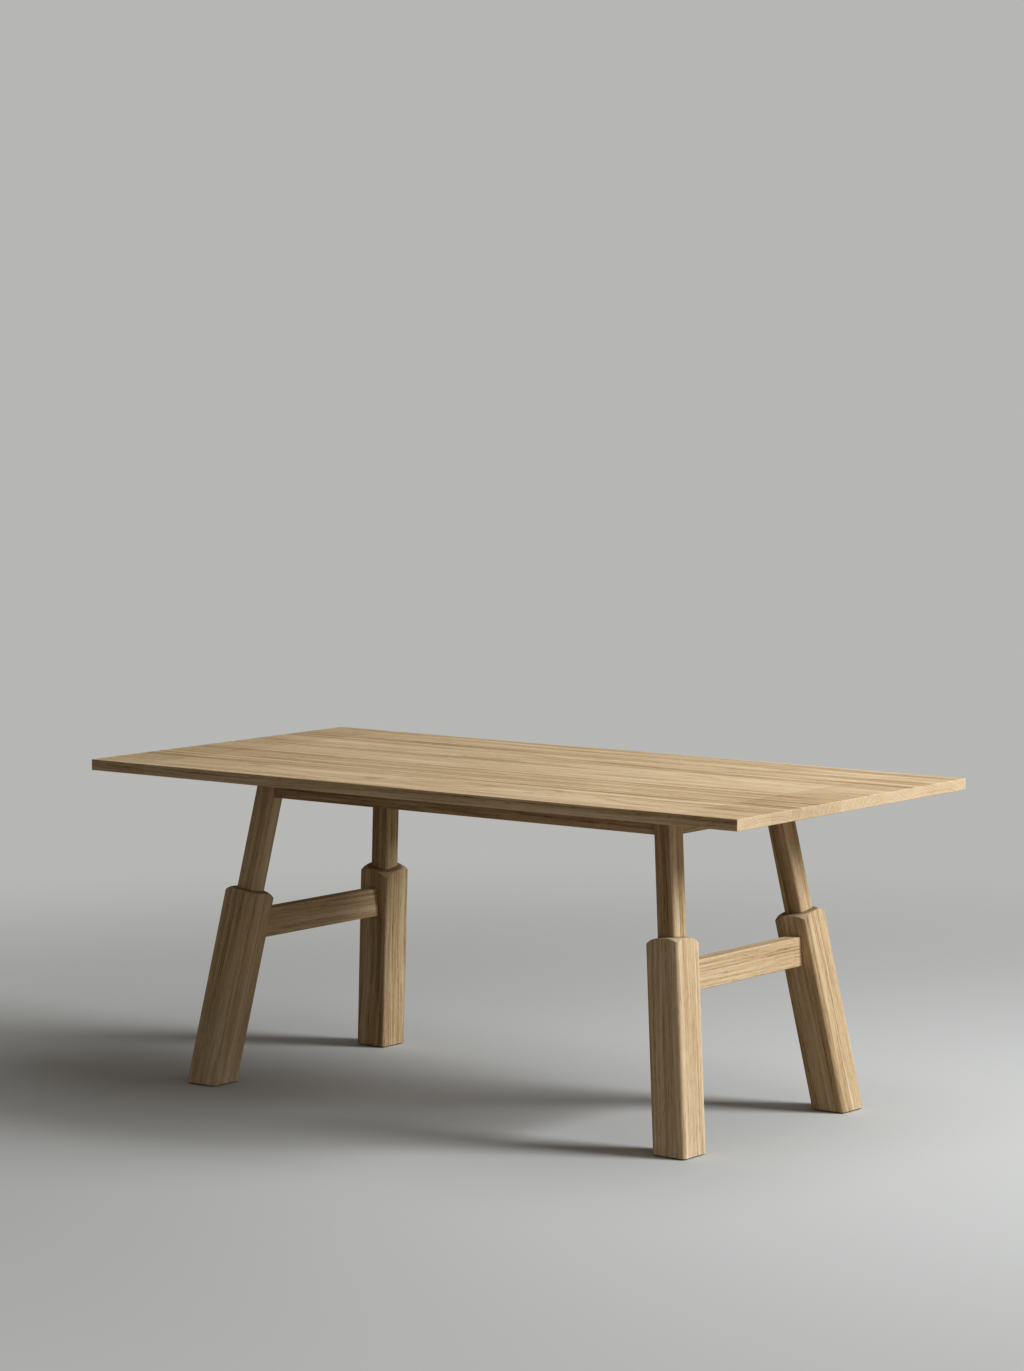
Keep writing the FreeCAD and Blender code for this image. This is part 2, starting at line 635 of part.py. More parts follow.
for name, corner in CORNERS.items():
    make_brace(f"{name}_corner_brace", *corner)
buttons = copies("button_copy", make_button(), button_places("0", UNDERSIDE))
keep(cut("buttons", buttons, button_holes), "top_buttons")

doc.recompute()
for piece in doc.Objects:
    if "Invalid" in piece.State or "Error" in piece.State:
        raise RuntimeError(f"{piece.Label} failed: {piece.State}")
for piece in nodes:
    if piece.Shape.isNull() or not piece.Shape.isValid() or not piece.Shape.Solids:
        raise RuntimeError(f"{piece.Label} has no valid solid")

os.makedirs("parts", exist_ok=True)
for piece in nodes:
    piece.Shape.exportStep(f"parts/{piece.Label}.step")
    print(f"{piece.Label}: {len(piece.Shape.Solids)} solids, {piece.Shape.Volume / 1000:.1f} cm3")
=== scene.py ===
import itertools
import math
from dataclasses import dataclass

import bpy
from mathutils import Matrix, Vector

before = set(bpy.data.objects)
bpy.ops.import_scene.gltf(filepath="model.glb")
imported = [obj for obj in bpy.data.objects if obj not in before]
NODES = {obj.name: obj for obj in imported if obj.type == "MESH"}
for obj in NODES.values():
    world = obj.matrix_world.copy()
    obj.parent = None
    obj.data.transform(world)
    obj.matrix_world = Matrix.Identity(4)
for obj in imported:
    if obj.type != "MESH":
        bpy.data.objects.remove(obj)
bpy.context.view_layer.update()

# Looks of an oak dining table. Every piece of oak is cut from a log whose rings run right through it.
# Metres; x runs along the table, y from front to back, z up from the floor.

# The camera, fitted to the table's edges, and the height in pixels of the picture it was fitted in.
# Its angles are in degrees, and its sensor is in millimetres.
CAMERA_PLACE = (5.5045, -7.2351, 1.8021)
CAMERA_YAW = 37.374
CAMERA_PITCH = -5.424
CAMERA_REACH = 100.0
FOCAL_PIXELS = 4043.5
PICTURE_HEIGHT = 1371
SENSOR = 36.0

# Studio: a broad lamp on the right, a little behind the table, and weak ones above and in front.
# Each lamp's name, place, width, power and colour
LAMPS = [
    ("key", (4.9, 2.0, 3.45), 2.2, 388.0, (0.98, 1.0, 1.02)),
    ("overhead", (1.0, 0.4, 3.4), 2.5, 32.0, (1.0, 1.0, 1.0)),
    ("fill", (4.5, -2.2, 1.0), 2.0, 18.5, (0.97, 1.0, 1.04)),
]
LAMP_TARGET = (0.0, 0.0, 0.4)
# The floor and the surround as they look, and then as the table is lit by them
FLOOR = (0.535, 0.543, 0.537, 1.0)
SURROUND = (0.470, 0.470, 0.457, 1.0)
BOUNCE = (0.257, 0.217, 0.172, 1.0)
AMBIENT = (0.153, 0.141, 0.125, 1.0)
FLOOR_RADIUS = 14.0
FLOOR_SIDES = 96
# How far out the floor starts to fade into the surround, and where it has faded
FLOOR_FADE = (0.8, 4.0)
# A hair under the glides, whose soles would otherwise lie in its plane
FLOOR_PLACE = (0.0, 0.0, -0.0004)

# Oak: the colours from dark streak to pale streak
OAK_COLOURS = [
    (0.00, (0.165, 0.094, 0.042)),
    (0.30, (0.350, 0.230, 0.116)),
    (0.52, (0.500, 0.362, 0.208)),
    (0.75, (0.610, 0.464, 0.290)),
    (1.00, (0.720, 0.575, 0.395)),
]
# Where plain oak lies on those colours, and how far each feature moves it along them
OAK_TONE = {
    "plain": 0.65,
    "bands": 0.70,
    "streaks": 1.1,
    "fibres": 1.60,
    "cloud": 0.35,
    "dark": -0.20,
    "pale": 0.16,
    "ring_on_face": -0.24,
    "ring_on_end": -0.30,
    "vessels": -0.14,
    "wear": 0.08,
}
OAK_ROUGHNESS = {"plain": 0.78, "pores": 0.16, "ring": 0.08, "wear": -0.10}
OAK_HEIGHT = {"pores": -1.0, "ring": -0.35, "seam": -0.5}
OAK_RELIEF = 0.0004
# The colours laid over the oak, and how much of the first two it takes
END_GRAIN = (0.62, 0.53, 0.40, 1.0)
END_GRAIN_SHARE = 0.25
PORE_SHADE = (0.56, 0.46, 0.37, 1.0)
PORE_SHARE = 0.8
# Painted shadow: the colour that darkens the seams and the joints, where shade would fall
SEAM_PAINTED_SHADOW = (0.42, 0.34, 0.27, 1.0)
# How far the grain wanders and ripples, and how far a ring's edge may move
WANDER_REACH = 0.045
RIPPLE_REACH = 0.0025
RING_SWELL = 0.010
# From one log to the next, and the number of the first log that the base is cut from
LOG_STEP = 3.7
BASE_LOG = 7

# Each row of the top, front to back: its log's number, where the log's middle lies from the board's
# own, across and up, and the board's tone at its front edge and at its back edge
BOARD_ROWS = [
    (60, (-0.02, 0.20), (0.15, -0.09)),
    (82, (-0.13, 0.07), (-0.08, -0.04)),
    (61, (-0.10, 0.09), (0.07, 0.00)),
    (48, (0.03, 0.16), (0.05, 0.10)),
    (55, (-0.02, 0.22), (0.10, -0.02)),
    (56, (0.04, 0.17), (0.00, 0.10)),
]
# The boards of a row, left to right: how each one's tone differs from the row's, and how bold it is
BOARD_KINDS = {
    "left_end_board": (-0.09, 0.7),
    "top_board": (0.0, 1.0),
    "right_end_board": (-0.09, 0.7),
}
BOARD_RING = 0.0068

# Each leg's tone, and how bold its streaks are
LEGS = {
    "front_left": (0.05, 1.2),
    "front_right": (0.03, 1.0),
    "back_left": (-0.10, 0.8),
    "back_right": (-0.06, 0.8),
}
LEG_PITH = (0.075, 0.055)
# How a post's tone differs from its leg's
POST_TONE = -0.05
# Painted shade: how much darker the rails under the top are made in colour
RAIL_PAINTED_SHADE = -0.18
RAIL_PITH = (0.08, 0.04)
# The rails of an end frame: each one's kind, the part of the leg it enters, its tone and ring. The
# rail's tone is painted shade
END_RAILS = [
    ("stretcher", "leg_block", 0.03, 0.0028),
    ("rail", "leg_post", RAIL_PAINTED_SHADE, 0.0042),
]
END_RAIL_PITH = (0.04, 0.09)
END_RAIL_BOLD = 0.5

# The fine lines between boards, on faces this square to the top, and the dark lines at joints: both
# are painted shadow lines, darkened in colour and sunk a little in relief
SEAM_WIDTH = 0.0006
SEAM_FACING = (0.9, 1.0)
JOINT_WIDTH = 0.0024
JOINT_SHADOW_DARKNESS = 0.75
# How far in from an edge it is worn
WEAR_WIDTH = 0.009
# How squarely a face cuts the grain where end grain starts to show, and where it is all that shows
END_FACING = (0.6, 0.95)
# How squarely a leg's side must face along x or y to be counted as facing that way
SIDE_FACING = 0.9

# The fittings' materials
BEECH_COLOURS = [
    (0.25, (0.42, 0.265, 0.150)),
    (0.55, (0.56, 0.385, 0.235)),
    (0.80, (0.66, 0.480, 0.320)),
]
BEECH_TONE = 0.55
BEECH_ROUGHNESS = 0.55
FLECK_SHADE = (0.62, 0.50, 0.42, 1.0)
PLY_COLOURS = [
    (0.20, (0.45, 0.320, 0.190)),
    (0.80, (0.68, 0.540, 0.370)),
]
PLY_TONE = 0.5
PLY_ROUGHNESS = 0.65
PLY_LAYER = 0.0015
PLY_CONTRAST = 0.18
ZINC_COLOURS = [
    (0.30, (0.40, 0.405, 0.41)),
    (0.50, (0.56, 0.565, 0.57)),
    (0.75, (0.66, 0.655, 0.63)),
]
ZINC_ROUGHNESS = 0.34
NYLON_COLOURS = [
    (0.30, (0.022, 0.019, 0.016)),
    (0.70, (0.045, 0.039, 0.033)),
]
NYLON_ROUGHNESS = 0.48
WOOD_GLOSS = 0.06
BUMP_STRENGTH = 0.4

# Directions, and frames of three: the grain's first, then two across it
X, Y, Z = Vector((1, 0, 0)), Vector((0, 1, 0)), Vector((0, 0, 1))
ALONG_X = Matrix((X, Y, Z))
ALONG_Y = Matrix((Y, Z, X))
LENGTHWISE, FIRST_ACROSS, SECOND_ACROSS = range(3)
# Which way each corner lies, along x and y
CORNERS = {
    "front_left": (-1, -1),
    "front_right": (1, -1),
    "back_left": (-1, 1),
    "back_right": (1, 1),
}


@dataclass
class Cut:
    """How a piece of oak is cut: the log's number, the piece's grain and two directions across it,
    where the log's middle lies from its own, its tone from one edge to the other, the width of a
    year's ring, and how bold its streaks are."""

    log: int
    axes: Matrix
    pith: tuple
    tones: tuple
    ring: float = 0.0042
    bold: float = 0.8


class Graph:
    """A node tree, with short calls for the nodes that the materials are made of."""

    def __init__(self, tree):
        self.tree = tree

    def node(self, kind, inputs=None, **settings):
        node = self.tree.nodes.new(kind)
        for name, value in settings.items():
            setattr(node, name, value)
        for key, value in (inputs or {}).items():
            self.set(node, key, value)
        return node

    def set(self, node, key, value):
        if isinstance(value, bpy.types.NodeSocket):
            self.tree.links.new(value, node.inputs[key])
        else:
            node.inputs[key].default_value = value

    def math(self, operation, *values):
        return self.node("ShaderNodeMath", dict(enumerate(values)), operation=operation).outputs[0]

    def times(self, value, amount):
        return self.math("MULTIPLY", value, amount)

    def total(self, *values):
        result = values[0]
        for value in values[1:]:
            result = self.math("ADD", result, value)
        return result

    def vector(self, operation, *values):
        node = self.node("ShaderNodeVectorMath", dict(enumerate(values)), operation=operation)
        single = operation in ("LENGTH", "DOT_PRODUCT")
        return node.outputs["Value" if single else "Vector"]

    def parts(self, vector):
        return self.node("ShaderNodeSeparateXYZ", {"Vector": vector}).outputs

    def noise(self, place, waves, detail=2.0, roughness=0.5):
        """Cloudy noise with so many waves to the metre along each axis."""
        stretched = self.vector("MULTIPLY", place, waves)
        inputs = {"Vector": stretched, "Scale": 1.0, "Detail": detail, "Roughness": roughness}
        return self.node("ShaderNodeTexNoise", inputs, noise_dimensions="3D")

    def value_noise(self, place, waves, detail=2.0, roughness=0.5):
        return self.noise(place, waves, detail, roughness).outputs["Fac"]

    def shift_noise(self, place, waves, reach):
        """A small random shift of place, across the grain only."""
        colour = self.noise(place, waves).outputs["Color"]
        centred = self.vector("SUBTRACT", colour, (0.5, 0.5, 0.5))
        return self.vector("MULTIPLY", centred, (0.0, reach, reach))

    def line_noise(self, place, waves, detail=2.0, roughness=0.5):
        """Noise along one line, with so many waves to the metre."""
        inputs = {"W": place, "Scale": waves, "Detail": detail, "Roughness": roughness}
        return self.node("ShaderNodeTexNoise", inputs, noise_dimensions="1D").outputs["Fac"]

    def around(self, value, amount):
        """A noise value moved to lie about zero, times an amount."""
        return self.times(self.math("SUBTRACT", value, 0.5), amount)

    def rise(self, value, low, high, start=0.0, end=1.0):
        """A smooth step from start to end as the value goes from low to high."""
        inputs = {"Value": value, "From Min": low, "From Max": high, "To Min": start, "To Max": end}
        node = self.node("ShaderNodeMapRange", inputs, interpolation_type="SMOOTHSTEP")
        return node.outputs["Result"]

    def between(self, value, start, end):
        """A smooth step from start to end as the value goes from 0 to 1."""
        return self.rise(value, 0.0, 1.0, start, end)

    def ramp(self, value, stops):
        node = self.node("ShaderNodeValToRGB", {"Fac": value})
        points = node.color_ramp.elements
        while len(points) < len(stops):
            points.new(1.0)
        for point, (position, colour) in zip(points, stops):
            point.position = position
            point.color = (*colour, 1.0)
        return node.outputs["Color"]

    def blend(self, kind, factor, first, second):
        inputs = {0: factor, 6: first, 7: second}
        return self.node("ShaderNodeMix", inputs, data_type="RGBA", blend_type=kind).outputs[2]

    def place(self):
        return self.node("ShaderNodeTexCoord").outputs["Object"]

    def turned_place(self, axes):
        """The place, measured along the axes."""
        inputs = {"Vector": self.place(), "Rotation": axes.to_euler("XYZ")}
        return self.node("ShaderNodeMapping", inputs).outputs["Vector"]

    def facing(self, direction):
        """How squarely the surface faces along a direction, either way: 0 to 1."""
        normal = self.node("ShaderNodeNewGeometry").outputs["Normal"]
        return self.math("ABSOLUTE", self.vector("DOT_PRODUCT", normal, direction))

    def inside(self, place, half):
        """How far a place is inside the three pairs of faces of a box about the origin."""
        return self.parts(self.vector("SUBTRACT", half, self.vector("ABSOLUTE", place)))

    def seen(self):
        """1 for what the camera sees, straight or in gloss or glass, and 0 for light on the table."""
        path = self.node("ShaderNodeLightPath").outputs
        mirrored = self.math("MAXIMUM", path["Is Glossy Ray"], path["Is Transmission Ray"])
        return self.math("MAXIMUM", path["Is Camera Ray"], mirrored)


def new_material(name):
    material = bpy.data.materials.new(name)
    material.use_nodes = True
    return material, Graph(material.node_tree)


def cover(material, colour, roughness, height, depth):
    """Links the looks to the material's shader. Depth is how deep the relief goes."""
    g = Graph(material.node_tree)
    shader = material.node_tree.nodes["Principled BSDF"]
    relief = {"Height": height, "Strength": BUMP_STRENGTH, "Distance": depth}
    bump = g.node("ShaderNodeBump", relief)
    g.tree.links.new(colour, shader.inputs["Base Color"])
    g.tree.links.new(roughness, shader.inputs["Roughness"])
    g.tree.links.new(bump.outputs["Normal"], shader.inputs["Normal"])
    return shader


def new_oak_tree():
    """An empty group with the oak's inputs and outputs."""
    tree = bpy.data.node_groups.new("oak", "ShaderNodeTree")
    tree.interface.new_socket("Place", in_out="INPUT", socket_type="NodeSocketVector")
    for name in ("End", "Tone", "Ring", "Bold", "Wear", "Seam"):
        tree.interface.new_socket(name, in_out="INPUT", socket_type="NodeSocketFloat")
    tree.interface.new_socket("Colour", in_out="OUTPUT", socket_type="NodeSocketColor")
    for name in ("Roughness", "Height"):
        tree.interface.new_socket(name, in_out="OUTPUT", socket_type="NodeSocketFloat")
    return tree


def make_oak_group():
    """Solid oak. Its Place is in the log, with x along the grain and the pith on the x axis."""
    tree = new_oak_tree()
    g = Graph(tree)
    given = g.node("NodeGroupInput").outputs
    place, end, seam = given["Place"], given["End"], given["Seam"]

    # The log isn't straight: the grain wanders slowly along it, and ripples a little.
    wander = g.shift_noise(place, (1.1, 4.0, 4.0), WANDER_REACH)
    ripple = g.shift_noise(place, (6.0, 22.0, 22.0), RIPPLE_REACH)
    bent = g.vector("ADD", place, g.vector("ADD", wander, ripple))
    radius = g.vector("LENGTH", g.vector("MULTIPLY", bent, (0.0, 1.0, 1.0)))

    # Rings, some wider and some darker than others. Each starts with a broken, porous dark line.
    swell = g.around(g.line_noise(radius, 45.0), RING_SWELL)
    year = g.math("DIVIDE", g.math("ADD", radius, swell), given["Ring"])
    early = g.rise(g.math("FRACT", year), 0.0, 0.55, start=1.0, end=0.0)
    chance = g.node("ShaderNodeTexWhiteNoise", {"W": g.math("FLOOR", year)}, noise_dimensions="1D")
    break_field = g.value_noise(bent, (22.0, 160.0, 160.0))
    breaks = g.rise(break_field, 0.35, 0.65, start=0.45, end=1.15)
    ring = g.times(g.times(early, breaks), g.between(chance.outputs["Value"], 0.35, 1.0))

    # Along the grain: broad bands and streaks, fibres, and single dark and pale streaks
    bands = g.around(g.line_noise(radius, 70.0, detail=3.0, roughness=0.6), OAK_TONE["bands"])
    streaks = g.around(g.value_noise(bent, (0.5, 26.0, 26.0)), OAK_TONE["streaks"])
    broad = g.times(g.math("ADD", bands, streaks), given["Bold"])
    fibre_field = g.value_noise(bent, (2.2, 130.0, 130.0), detail=4.0, roughness=0.72)
    fibres = g.around(fibre_field, OAK_TONE["fibres"])
    dark_field = g.value_noise(bent, (4.0, 200.0, 200.0), detail=1.0)
    dark = g.times(g.rise(dark_field, 0.68, 0.80), OAK_TONE["dark"])
    pale_field = g.value_noise(bent, (3.0, 120.0, 150.0), detail=1.0)
    pale = g.times(g.rise(pale_field, 0.62, 0.76), OAK_TONE["pale"])
    grain = g.times(g.total(broad, fibres, dark, pale), g.between(end, 1.0, 0.3))
    cloud = g.around(g.value_noise(place, (1.6, 9.0, 9.0)), OAK_TONE["cloud"])

    # Short dark lines: the fine pores, densest at the start of a ring, and the larger vessels
    pore_field = g.value_noise(bent, (40.0, 700.0, 700.0), roughness=0.6)
    pores = g.times(g.rise(pore_field, 0.54, 0.66), g.between(early, 0.35, 1.0))
    vessel_field = g.value_noise(bent, (50.0, 400.0, 400.0), detail=1.0)
    vessels = g.times(g.rise(vessel_field, 0.57, 0.68), g.between(end, 1.0, 0.2))

    ring_depth = g.rise(end, 0.2, 0.9, OAK_TONE["ring_on_face"], OAK_TONE["ring_on_end"])
    wear_field = g.value_noise(place, (25.0, 60.0, 60.0))
    wear = g.times(given["Wear"], g.rise(wear_field, 0.3, 0.7, start=0.3, end=1.0))
    value = g.total(
        OAK_TONE["plain"],
        given["Tone"],
        grain,
        cloud,
        g.times(ring, ring_depth),
        g.times(wear, OAK_TONE["wear"]),
        g.times(vessels, OAK_TONE["vessels"]),
    )
    colour = g.ramp(value, OAK_COLOURS)
    colour = g.blend("MIX", g.times(end, END_GRAIN_SHARE), colour, END_GRAIN)
    colour = g.blend("MULTIPLY", g.times(pores, PORE_SHARE), colour, PORE_SHADE)
    # Painted shadow: the seam and joint lines darken the colour
    colour = g.blend("MULTIPLY", seam, colour, SEAM_PAINTED_SHADOW)

    roughness = g.total(
        OAK_ROUGHNESS["plain"],
        g.times(pores, OAK_ROUGHNESS["pores"]),
        g.times(ring, OAK_ROUGHNESS["ring"]),
        cloud,
        g.times(wear, OAK_ROUGHNESS["wear"]),
    )
    height = g.total(
        g.times(pores, OAK_HEIGHT["pores"]),
        g.times(ring, OAK_HEIGHT["ring"]),
        fibres,
        g.times(seam, OAK_HEIGHT["seam"]),
    )
    g.node("NodeGroupOutput", {"Colour": colour, "Roughness": roughness, "Height": height})
    return tree


def spread(nodes, axes):
    """The middle and the half sizes of the box along the axes that holds the nodes."""
    corners = [axes @ vertex.co for node in nodes for vertex in NODES[node].data.vertices]
    low = Vector([min(corner[i] for corner in corners) for i in range(3)])
    high = Vector([max(corner[i] for corner in corners) for i in range(3)])
    return (low + high) / 2, (high - low) / 2


def make_oak(node, group, cut, plank=(), worn=(), joints=()):
    """Oak for one piece. Plank names the pieces that were sawn from one length, where there are more.
    Worn names those whose common outer edges are worn, and whose seams show as painted shadow lines.
    Joints are the planes, each a normal and a distance, where the piece enters another, and along
    each of them a painted shadow line is drawn."""
    material, g = new_material(f"oak_{node}")
    axes = cut.axes
    turned = g.turned_place(axes)
    middle, half = spread([node], axes)
    own = g.vector("SUBTRACT", turned, middle)
    plank_middle, _ = spread(plank or [node], axes)
    log_place = Vector((LOG_STEP * cut.log, *cut.pith)) - plank_middle

    # A place is as near to an edge of the box as the second smallest of its depths.
    worn_middle, worn_half = spread(worn or [node], axes)
    depths = g.inside(g.vector("SUBTRACT", turned, worn_middle), worn_half)
    low = g.math("MINIMUM", depths["X"], depths["Y"])
    high = g.math("MAXIMUM", depths["X"], depths["Y"])
    from_edge = g.math("MAXIMUM", low, g.math("MINIMUM", high, depths["Z"]))

    # Painted shadow lines: the colour darkens along the seams between boards and where the piece
    # enters another
    seams = [0.0]
    if worn:
        sides = g.inside(own, half)
        from_side = g.math("MINIMUM", sides["X"], sides["Y"])
        line = g.rise(from_side, SEAM_WIDTH / 2, SEAM_WIDTH, start=1.0, end=0.0)
        seams.append(g.times(line, g.rise(g.facing(axes[SECOND_ACROSS]), *SEAM_FACING)))
    for normal, distance in joints:
        gap = g.math("SUBTRACT", g.vector("DOT_PRODUCT", g.place(), normal), distance)
        from_joint = g.math("ABSOLUTE", gap)
        seams.append(g.rise(from_joint, JOINT_WIDTH / 3, JOINT_WIDTH, start=JOINT_SHADOW_DARKNESS, end=0.0))

    inputs = {
        "Place": g.vector("ADD", turned, log_place),
        "End": g.rise(g.facing(axes[LENGTHWISE]), *END_FACING),
        "Tone": g.rise(g.parts(own)["Y"], -half.y, half.y, *cut.tones),
        "Ring": cut.ring,
        "Bold": cut.bold,
        "Wear": g.rise(from_edge, 0.0, WEAR_WIDTH, start=1.0, end=0.0),
        "Seam": g.total(*seams),
    }
    oak = g.node("ShaderNodeGroup", node_tree=group)
    for name, value in inputs.items():
        g.set(oak, name, value)
    looks = [oak.outputs[name] for name in ("Colour", "Roughness", "Height")]
    shader = cover(material, *looks, depth=OAK_RELIEF)
    shader.inputs["Specular IOR Level"].default_value = WOOD_GLOSS
    return material


def make_beech(axes):
    """Beech: even and pinkish, with short dark flecks along the grain."""
    material, g = new_material("beech")
    place = g.turned_place(axes)
    grain_field = g.value_noise(place, (6.0, 120.0, 120.0), detail=4.0, roughness=0.6)
    grain = g.around(grain_field, 0.8)
    cloud = g.around(g.value_noise(place, (5.0, 18.0, 18.0)), 0.4)
    fleck_field = g.value_noise(place, (180.0, 1300.0, 1300.0), detail=1.0)
    flecks = g.rise(fleck_field, 0.60, 0.70)
    colour = g.ramp(g.total(BEECH_TONE, grain, cloud), BEECH_COLOURS)
    colour = g.blend("MULTIPLY", g.times(flecks, 0.7), colour, FLECK_SHADE)
    roughness = g.total(BEECH_ROUGHNESS, g.times(flecks, 0.1), cloud)
    height = g.total(grain, g.times(flecks, -0.6))
    shader = cover(material, colour, roughness, height, depth=0.0003)
    shader.inputs["Specular IOR Level"].default_value = WOOD_GLOSS
    return material


def make_plywood():
    """Birch plywood: thin layers, pale and darker by turns."""
    material, g = new_material("birch_ply")
    place = g.place()
    within = g.math("PINGPONG", g.parts(place)["Z"], PLY_LAYER)
    layer = g.rise(within, 0.4 * PLY_LAYER, 0.6 * PLY_LAYER, start=-PLY_CONTRAST, end=PLY_CONTRAST)
    grain = g.around(g.value_noise(place, (150.0, 12.0, 150.0), detail=3.0), 0.6)
    colour = g.ramp(g.total(PLY_TONE, layer, grain), PLY_COLOURS)
    roughness = g.total(PLY_ROUGHNESS, grain)
    cover(material, colour, roughness, height=grain, depth=0.0002)
    return material


def make_zinc():
    """Zinc-plated steel: a fine dull crystal bloom on a bright metal, with turning marks."""
    material, g = new_material("zinc_steel")
    bloom = g.value_noise(g.place(), (420.0, 420.0, 420.0), detail=4.0, roughness=0.65)
    marks = g.value_noise(g.place(), (600.0, 600.0, 4000.0))
    colour = g.ramp(bloom, ZINC_COLOURS)
    roughness = g.total(ZINC_ROUGHNESS, g.around(bloom, 0.35), g.around(marks, 0.15))
    shader = cover(material, colour, roughness, height=marks, depth=0.00005)
    shader.inputs["Metallic"].default_value = 1.0
    return material


def make_nylon():
    """Dark moulded nylon with a fine grained skin, scuffed in places."""
    material, g = new_material("nylon")
    skin = g.value_noise(g.place(), (2200.0, 2200.0, 2200.0))
    scuffs = g.value_noise(g.place(), (90.0, 260.0, 260.0), detail=4.0, roughness=0.7)
    colour = g.ramp(scuffs, NYLON_COLOURS)
    roughness = g.total(NYLON_ROUGHNESS, g.around(scuffs, 0.4))
    cover(material, colour, roughness, height=skin, depth=0.0001)
    return material


def dress(node, material):
    NODES[node].data.materials.clear()
    NODES[node].data.materials.append(material)


def dress_top(group):
    planks = [[f"{kind}_{row + 1}" for kind in BOARD_KINDS] for row in range(len(BOARD_ROWS))]
    boards = sum(planks, [])
    for plank, (log, pith, tones) in zip(planks, BOARD_ROWS):
        for node, (shift, bold) in zip(plank, BOARD_KINDS.values()):
            shifted = tuple(tone + shift for tone in tones)
            cut = Cut(log, ALONG_X, pith, shifted, BOARD_RING, bold)
            dress(node, make_oak(node, group, cut, plank, boards))


def widest_side(node, direction):
    """The normal of the largest of a piece's sides that about face along a direction."""
    sides = [side for side in NODES[node].data.polygons if side.normal.dot(direction) > SIDE_FACING]
    return max(sides, key=lambda side: side.area).normal.normalized()


def leg_axes(corner):
    """The leg's own direction, and the two across it, which point about along x and y."""
    block = f"{corner}_leg_block"
    across_x, across_y = widest_side(block, X), widest_side(block, Y)
    return Matrix((across_x.cross(across_y), across_x, across_y))


def end_plane(node, axes, direction, way):
    """Where a piece ends along one of its axes, as a plane's normal and distance. Way is 1 or -1."""
    middle, half = spread([node], axes)
    return axes[direction], middle[direction] + way * half[direction]


def dress_legs(group, logs):
    for corner, (out_x, out_y) in CORNERS.items():
        axes = leg_axes(corner)
        pith = (LEG_PITH[0] * out_y, LEG_PITH[1] * out_x)
        leg_tone, bold = LEGS[corner]
        # A painted shadow line runs where the post enters the block's shoulder, on both pieces
        shoulder = end_plane(f"{corner}_leg_block", axes, LENGTHWISE, 1)
        for kind, tone in (("leg_block", leg_tone), ("leg_post", leg_tone + POST_TONE)):
            node = f"{corner}_{kind}"
            cut = Cut(next(logs), axes, pith, (tone, tone), bold=bold)
            dress(node, make_oak(node, group, cut, joints=[shoulder]))


def dress_rail(node, group, cut, leg, direction, corners):
    """Oak for a rail between two corners, with a painted shadow line where each end enters a part of
    the leg.
    """
    joints = []
    for corner, way in zip(corners, (1, -1)):
        joints.append(end_plane(f"{corner}_{leg}", leg_axes(corner), direction, way))
    dress(node, make_oak(node, group, cut, joints=joints))


def dress_rails(group, logs):
    for side in ("left", "right"):
        corners = (f"front_{side}", f"back_{side}")
        for kind, leg, tone, ring in END_RAILS:
            cut = Cut(next(logs), ALONG_Y, END_RAIL_PITH, (tone, tone), ring, END_RAIL_BOLD)
            dress_rail(f"{side}_{kind}", group, cut, leg, SECOND_ACROSS, corners)
    for side in ("front", "back"):
        corners = (f"{side}_left", f"{side}_right")
        # The front and back rails are darkened with painted shade, as they lie under the top
        cut = Cut(next(logs), ALONG_X, RAIL_PITH, (RAIL_PAINTED_SHADE, RAIL_PAINTED_SHADE))
        dress_rail(f"{side}_rail", group, cut, "leg_post", FIRST_ACROSS, corners)


def dress_fittings():
    beech = make_beech(ALONG_X)
    plywood = make_plywood()
    zinc = make_zinc()
    nylon = make_nylon()
    for corner in CORNERS:
        dress(f"{corner}_corner_brace", beech)
        dress(f"{corner}_glide", nylon)
    dress("top_buttons", beech)
    dress("left_end_tongue", plywood)
    dress("right_end_tongue", plywood)
    dress("brace_screws", zinc)
    dress("button_screws", zinc)


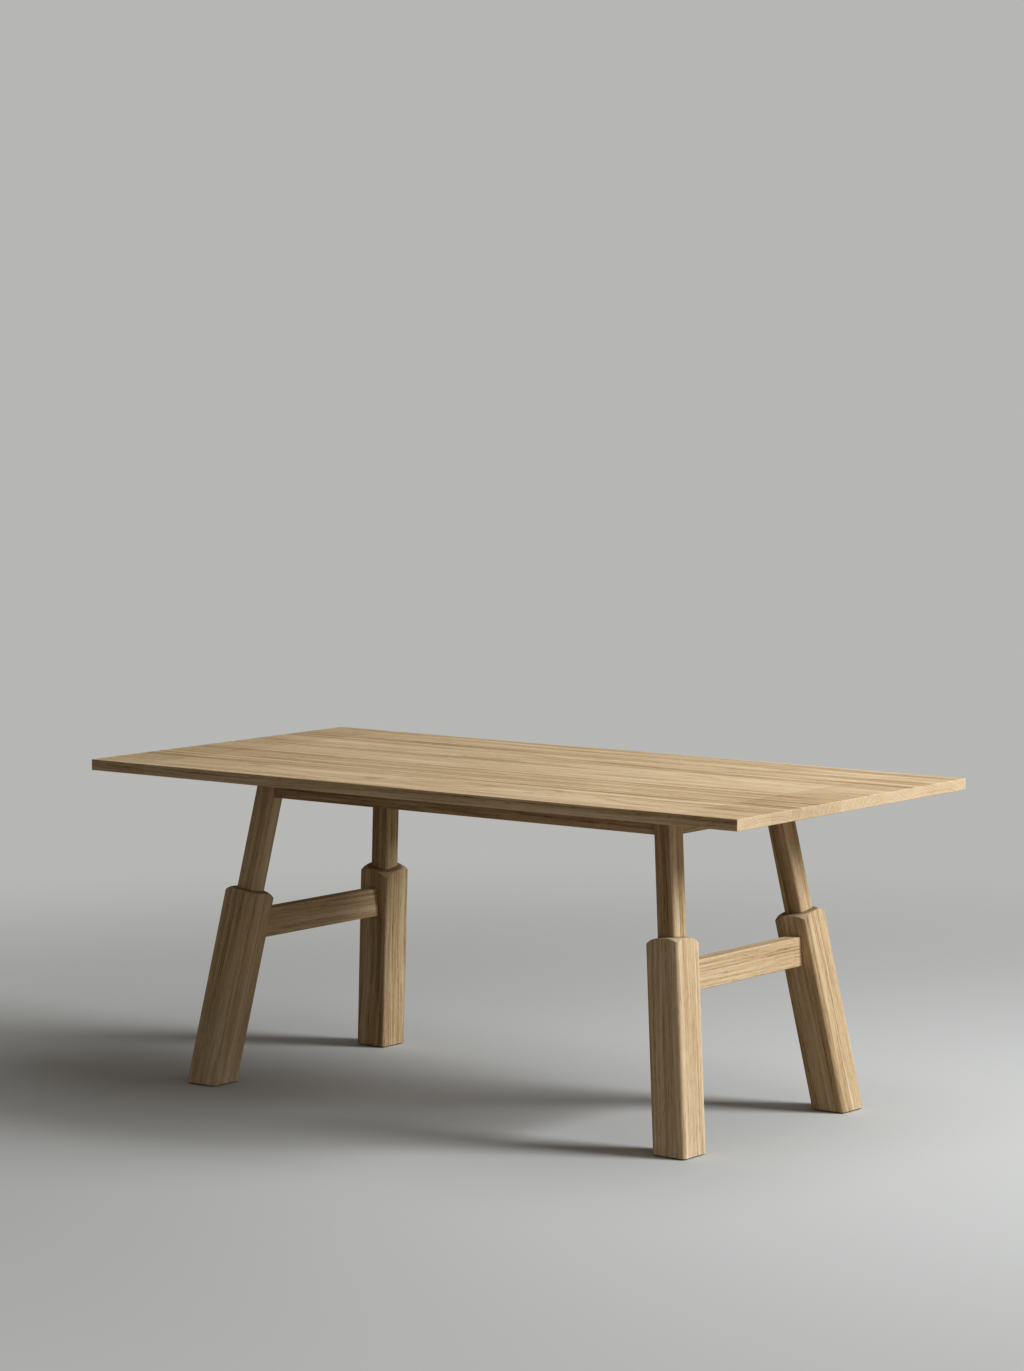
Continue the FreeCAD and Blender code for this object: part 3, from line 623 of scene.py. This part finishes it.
def make_floor():
    """A round floor that fades into the pale surround. From below it is clear and hides nothing."""
    bpy.ops.mesh.primitive_circle_add(
        vertices=FLOOR_SIDES, radius=FLOOR_RADIUS, fill_type="NGON", location=FLOOR_PLACE
    )
    floor = bpy.context.object
    floor.name = "studio_floor"
    material, g = new_material("studio_floor")
    g.tree.nodes.clear()
    seen = g.seen()
    colour = g.blend("MIX", seen, BOUNCE, FLOOR)
    lit = g.node("ShaderNodeBsdfDiffuse", {"Color": colour}).outputs[0]
    glow = g.node("ShaderNodeEmission", {"Color": SURROUND}).outputs[0]
    fade = g.times(g.rise(g.vector("LENGTH", g.place()), *FLOOR_FADE), seen)
    top = g.node("ShaderNodeMixShader", {0: fade, 1: lit, 2: glow}).outputs[0]
    clear = g.node("ShaderNodeBsdfTransparent").outputs[0]
    below = g.node("ShaderNodeNewGeometry").outputs["Backfacing"]
    surface = g.node("ShaderNodeMixShader", {0: below, 1: top, 2: clear}).outputs[0]
    g.node("ShaderNodeOutputMaterial", {"Surface": surface})
    floor.data.materials.append(material)


def make_world():
    world = bpy.data.worlds.new("studio")
    bpy.context.scene.world = world
    world.use_nodes = True
    g = Graph(world.node_tree)
    g.tree.nodes.clear()
    colour = g.blend("MIX", g.seen(), AMBIENT, SURROUND)
    background = g.node("ShaderNodeBackground", {"Color": colour}).outputs[0]
    g.node("ShaderNodeOutputWorld", {"Surface": background})


def make_lamp(name, place, width, power, colour):
    lamp = bpy.data.lights.new(name, "AREA")
    lamp.shape = "DISK"
    lamp.size = width
    lamp.energy = power
    lamp.color = colour
    thing = bpy.data.objects.new(name, lamp)
    thing.location = place
    aim = Vector(LAMP_TARGET) - Vector(place)
    thing.rotation_euler = aim.to_track_quat("-Z", "Y").to_euler()
    bpy.context.scene.collection.objects.link(thing)


def make_camera():
    camera = bpy.data.cameras.new("camera")
    camera.sensor_width = SENSOR
    camera.lens = FOCAL_PIXELS / PICTURE_HEIGHT * SENSOR
    camera.clip_end = CAMERA_REACH
    thing = bpy.data.objects.new("camera", camera)
    thing.location = CAMERA_PLACE
    thing.rotation_euler = (math.radians(90.0 + CAMERA_PITCH), 0.0, math.radians(CAMERA_YAW))
    bpy.context.scene.collection.objects.link(thing)
    bpy.context.scene.camera = thing


oak = make_oak_group()
base_logs = itertools.count(BASE_LOG)
dress_top(oak)
dress_legs(oak, base_logs)
dress_rails(oak, base_logs)
dress_fittings()
make_floor()
make_world()
for lamp in LAMPS:
    make_lamp(*lamp)
make_camera()
bpy.context.scene.view_settings.view_transform = "Standard"
